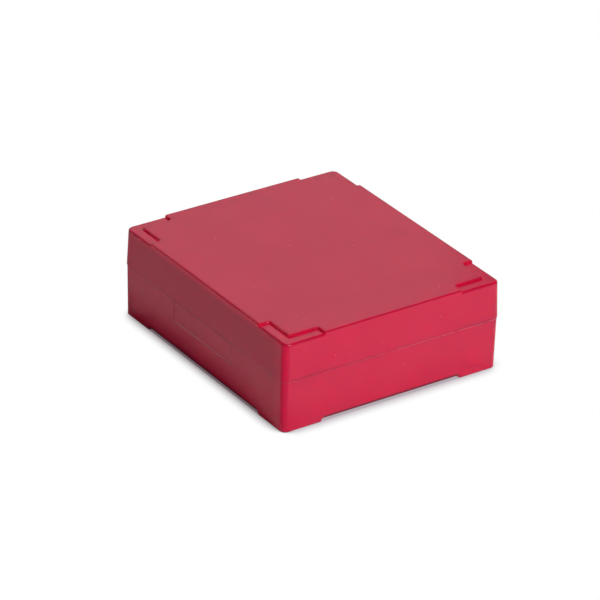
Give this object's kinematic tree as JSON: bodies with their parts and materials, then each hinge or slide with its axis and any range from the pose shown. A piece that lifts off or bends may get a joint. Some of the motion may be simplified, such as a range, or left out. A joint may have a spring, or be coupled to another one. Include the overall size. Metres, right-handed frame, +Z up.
{
  "type": "art supply box",
  "caption": "Low rectangular plastic box for art supplies with a deep lift-off lid, and corner feet that nest in recesses in the lid of the box below.",
  "frame": {"origin": "middle of the footprint, on the surface that the feet stand on", "axes": "+X along the front to the right, -Y out of the front with the bare label panel, +Z up"},
  "size_m": [0.1844, 0.1626, 0.0626],
  "materials": {
    "box_plastic": "smooth moulded plastic with a soft gloss, coloured right through"
  },
  "bodies": {
    "base": {"base": "box_plastic"},
    "lid": {"lid": "box_plastic"}
  },
  "joints": [
    {"name": "lid_lift", "type": "slide", "parent": "base", "child": "lid", "axis": [0, 0, 1], "range_m": [0, 0.08]}
  ]
}
